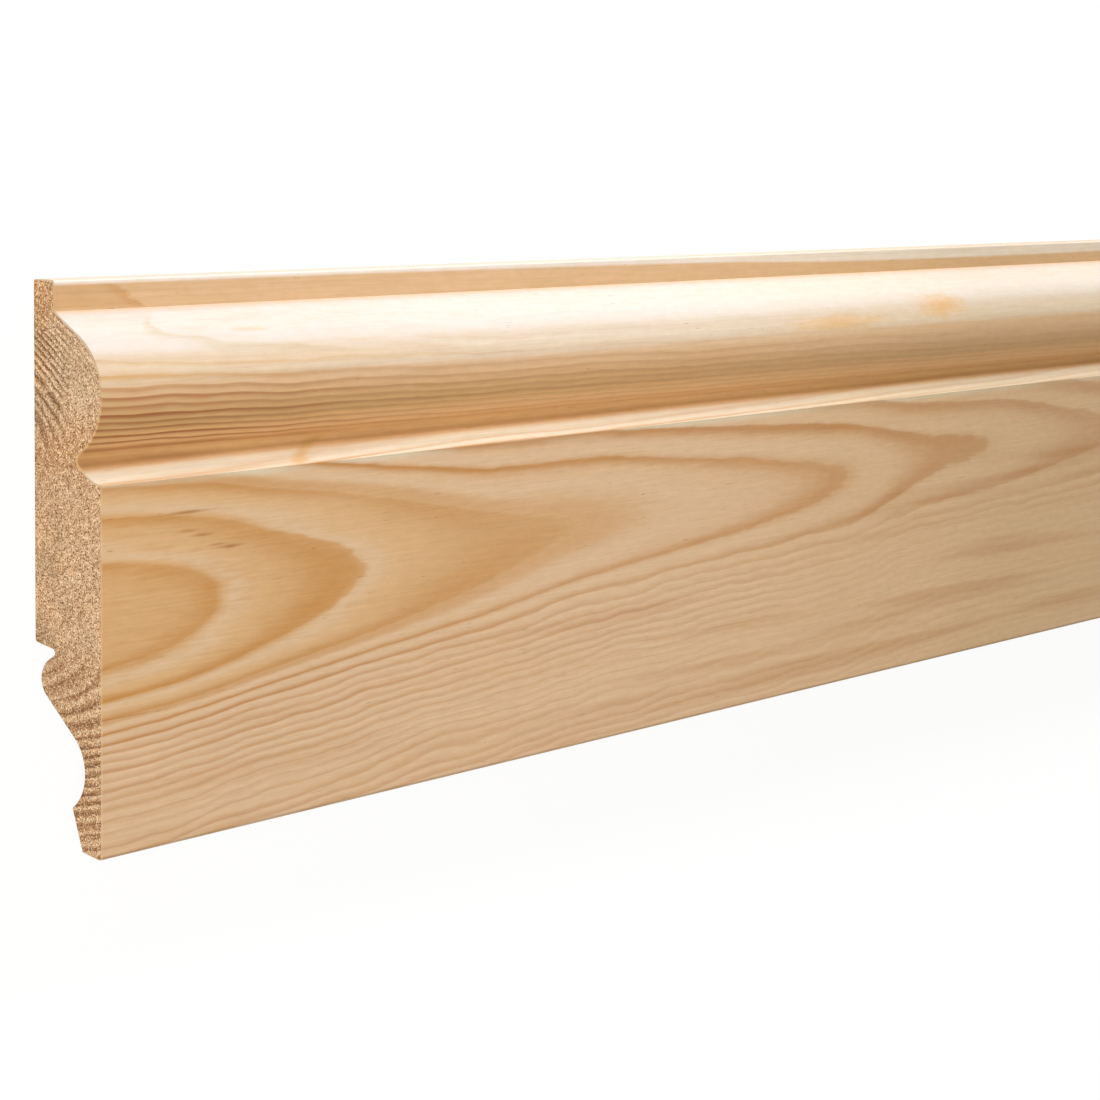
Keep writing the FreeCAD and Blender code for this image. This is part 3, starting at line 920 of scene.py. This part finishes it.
clouds = noise(here, (4, 8, 4.4), roughness=0.6, shift=(8, 8, 3)) * (1 - between(forward, 8, 12) * 0.5)
end_colour = vector_step("SCALE", end_colour, clouds * drawn(up, CLOUDY_ACROSS) + 1)
tell("sawn wood", wood)

# %% Put the planed and the sawn wood together
ARRIS_SHARE = 0.3
on_arris = between(facing_along, 0.2, 0.5) * between(facing_along, 0.9, 0.75)
whole = mix(sawn, planed, end_colour)
whole = mix(on_arris * ARRIS_SHARE, whole, colour(214, 176, 132))
tell("both together", wood)

# %% [markdown]
# ### Sheen and relief
#
# Fresh from the planer the wood has a low satin sheen, and its fibres leave fine
# scratches. The sawn ends are dull, with a fluff of cut fibres. That relief is
# under a hundredth of a millimetre on the faces and under a tenth on the ends, so a
# bump is enough for it. Its height is in millimetres.

# %% Relief and shader
FACE_RELIEF, END_RELIEF = 0.015, 0.264
FACE_DULLNESS, END_DULLNESS = 0.6, 0.85
bump = place(wood, "ShaderNodeBump")
feed(bump.inputs["Height"], fade(sawn, fibres * FACE_RELIEF, fluff * END_RELIEF))
feed(bump.inputs["Distance"], MM)
feed(bump.inputs["Strength"], 1.0)
shader = place(wood, "ShaderNodeBsdfPrincipled")
feed(shader.inputs["Base Color"], whole)
feed(shader.inputs["Roughness"], fade(sawn, fibres * 0.2 + FACE_DULLNESS, fluff * 0.1 + END_DULLNESS))
feed(shader.inputs["Normal"], bump.outputs[0])
feed(shader.inputs["IOR"], 1.5)
feed(shader.inputs["Specular IOR Level"], 0.4)
feed(place(wood, "ShaderNodeOutputMaterial").inputs["Surface"], shader.outputs[0])
print("pine of", len(wood.nodes), "nodes")

# %% The dressed board takes the CAD board's place
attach(board, "root")
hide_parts(NODE)
print(board.name, "stands for", NODE)

# %% [markdown]
# ## Floor, light and camera
#
# The board lies on a white studio floor. The camera sees most of the floor as
# plain white light, so that it stays white at any exposure, and a little of it as
# a lit surface, which keeps the board's soft shadow. The Light Path node tells a
# ray that the camera sees from a ray that carries light.

# %% Floor
FLOOR_REACH = 12.0
FLOOR_GREY = 0.86
GLOW_STRENGTH, GLOW_SHARE = 1.07, 0.86


def seen_directly(tree):
    """1 for what the camera sees, also by way of a shiny or clear thing, and 0 for the rest."""
    ray = place(tree, "ShaderNodeLightPath").outputs
    kinds = [Result(ray[name]) for name in ("Is Camera Ray", "Is Glossy Ray", "Is Transmission Ray")]
    return most(most(kinds[0], kinds[1]), kinds[2])


floor_mesh = bpy.data.meshes.new("floor")
floor_mesh.from_pydata([(-FLOOR_REACH, -FLOOR_REACH, 0), (FLOOR_REACH, -FLOOR_REACH, 0),
                        (FLOOR_REACH, FLOOR_REACH, 0), (-FLOOR_REACH, FLOOR_REACH, 0)], [], [(0, 1, 2, 3)])
floor = bpy.data.objects.new("floor", floor_mesh)
bpy.context.scene.collection.objects.link(floor)
white = bpy.data.materials.new("white_floor")
white.use_nodes = True
white.node_tree.nodes.clear()
lit = place(white.node_tree, "ShaderNodeBsdfDiffuse")
feed(lit.inputs["Color"], (FLOOR_GREY, FLOOR_GREY, FLOOR_GREY, 1))
glow = place(white.node_tree, "ShaderNodeEmission")
feed(glow.inputs["Strength"], GLOW_STRENGTH)
blend = place(white.node_tree, "ShaderNodeMixShader")
feed(blend.inputs[0], seen_directly(white.node_tree) * GLOW_SHARE)
feed(blend.inputs[1], lit.outputs[0])
feed(blend.inputs[2], glow.outputs[0])
feed(place(white.node_tree, "ShaderNodeOutputMaterial").inputs["Surface"], blend.outputs[0])
floor_mesh.materials.append(white)
print("floor", 2 * FLOOR_REACH, "m wide")

# %% [markdown]
# The surroundings work the same way. The camera sees them white, and the board gets
# a faint warm fill light from them, which keeps the shaded sides from going dark.

# %% Surroundings
FILL_LIGHT = 0.21
FILL_COLOUR, WHITE = (1, 0.96, 0.88, 1), (1, 1, 1, 1)
world = bpy.data.worlds.new("studio")
bpy.context.scene.world = world
world.use_nodes = True
sky = world.node_tree
sky.nodes.clear()
seen = seen_directly(sky)
back = place(sky, "ShaderNodeBackground")
feed(back.inputs["Color"], mix(seen, FILL_COLOUR, WHITE))
feed(back.inputs["Strength"], seen * (1 - FILL_LIGHT) + FILL_LIGHT)
feed(place(sky, "ShaderNodeOutputWorld").inputs["Surface"], back.outputs[0])
print("fill light of", FILL_LIGHT)

# %% [markdown]
# One wide soft lamp stands beyond the torus edge and low over the board. It rakes
# across the face, lights the top of the torus and leaves its underside in shade.
# A sun lamp with a wide angle is used, because it lights a long board evenly.

# %% Key light
key = bpy.data.lights.new("key", "SUN")
key.energy = 4.6
key.color = (0.98, 0.95, 1.0)
key.angle = math.radians(26)
key_lamp = bpy.data.objects.new("key", key)
bpy.context.scene.collection.objects.link(key_lamp)
KEY_FROM = Vector((0.60, 0.747, 0.28))
key_lamp.rotation_euler = KEY_FROM.to_track_quat("Z", "Y").to_euler()
print("key light", round(math.degrees(math.asin(KEY_FROM.normalized().z)), 1), "degrees above the floor")

# %% [markdown]
# A second, weaker lamp stands near the camera. It opens up the sawn end, which the
# key light doesn't reach, and it fades along the board.

# %% Lamp by the camera
near_light = bpy.data.lights.new("by_camera", "AREA")
near_light.shape = "DISK"
near_light.size = 0.5
near_light.energy = 5.6
near_light.color = (1.0, 0.96, 0.88)
near_lamp = bpy.data.objects.new("by_camera", near_light)
bpy.context.scene.collection.objects.link(near_lamp)
LAMP_AT, LAMP_TO = Vector((-1.85, -0.02, 0.55)), Vector((-1.1, 0, 0.02))
near_lamp.location = LAMP_AT
near_lamp.rotation_euler = (LAMP_AT - LAMP_TO).to_track_quat("Z", "Y").to_euler()
print("lamp", round((LAMP_AT - LAMP_TO).length, 2), "m from its aim on the board")

# %% [markdown]
# The camera stands beyond the near end and looks down along the board with its top
# towards the torus edge, so the board fills the picture as if it stood on its foot.
# Its place and its turn were worked out from the corners of the end and the edges
# that run away from it.

# %% Camera
FRAME_WIDTH = 1100
FOCAL_PIXELS = 2907.2
TURN, TILT, ROLL = 0.6805, -0.14642, 0.021146
CAMERA_AT = Vector((-1.59665, 0.09362, 0.45883))
ahead = Vector((math.cos(TURN), 0, -math.sin(TURN)))
aside = Vector((math.sin(TURN), 0, math.cos(TURN)))
upward = Vector((0, 1, 0))
look = ahead * math.cos(TILT) + upward * math.sin(TILT)
top = upward * math.cos(TILT) - ahead * math.sin(TILT)
right = aside * math.cos(ROLL) + top * math.sin(ROLL)
top = top * math.cos(ROLL) - aside * math.sin(ROLL)
lens = bpy.data.cameras.new("camera")
lens.sensor_width = 36
lens.lens = FOCAL_PIXELS / FRAME_WIDTH * lens.sensor_width
lens.clip_start, lens.clip_end = 0.01, 60
camera = bpy.data.objects.new("camera", lens)
camera.matrix_world = Matrix.Translation(CAMERA_AT) @ Matrix((right, top, -look)).transposed().to_4x4()
bpy.context.scene.collection.objects.link(camera)
bpy.context.scene.camera = camera
bpy.context.scene.view_settings.view_transform = "Standard"
print("lens", round(lens.lens, 2), "mm")
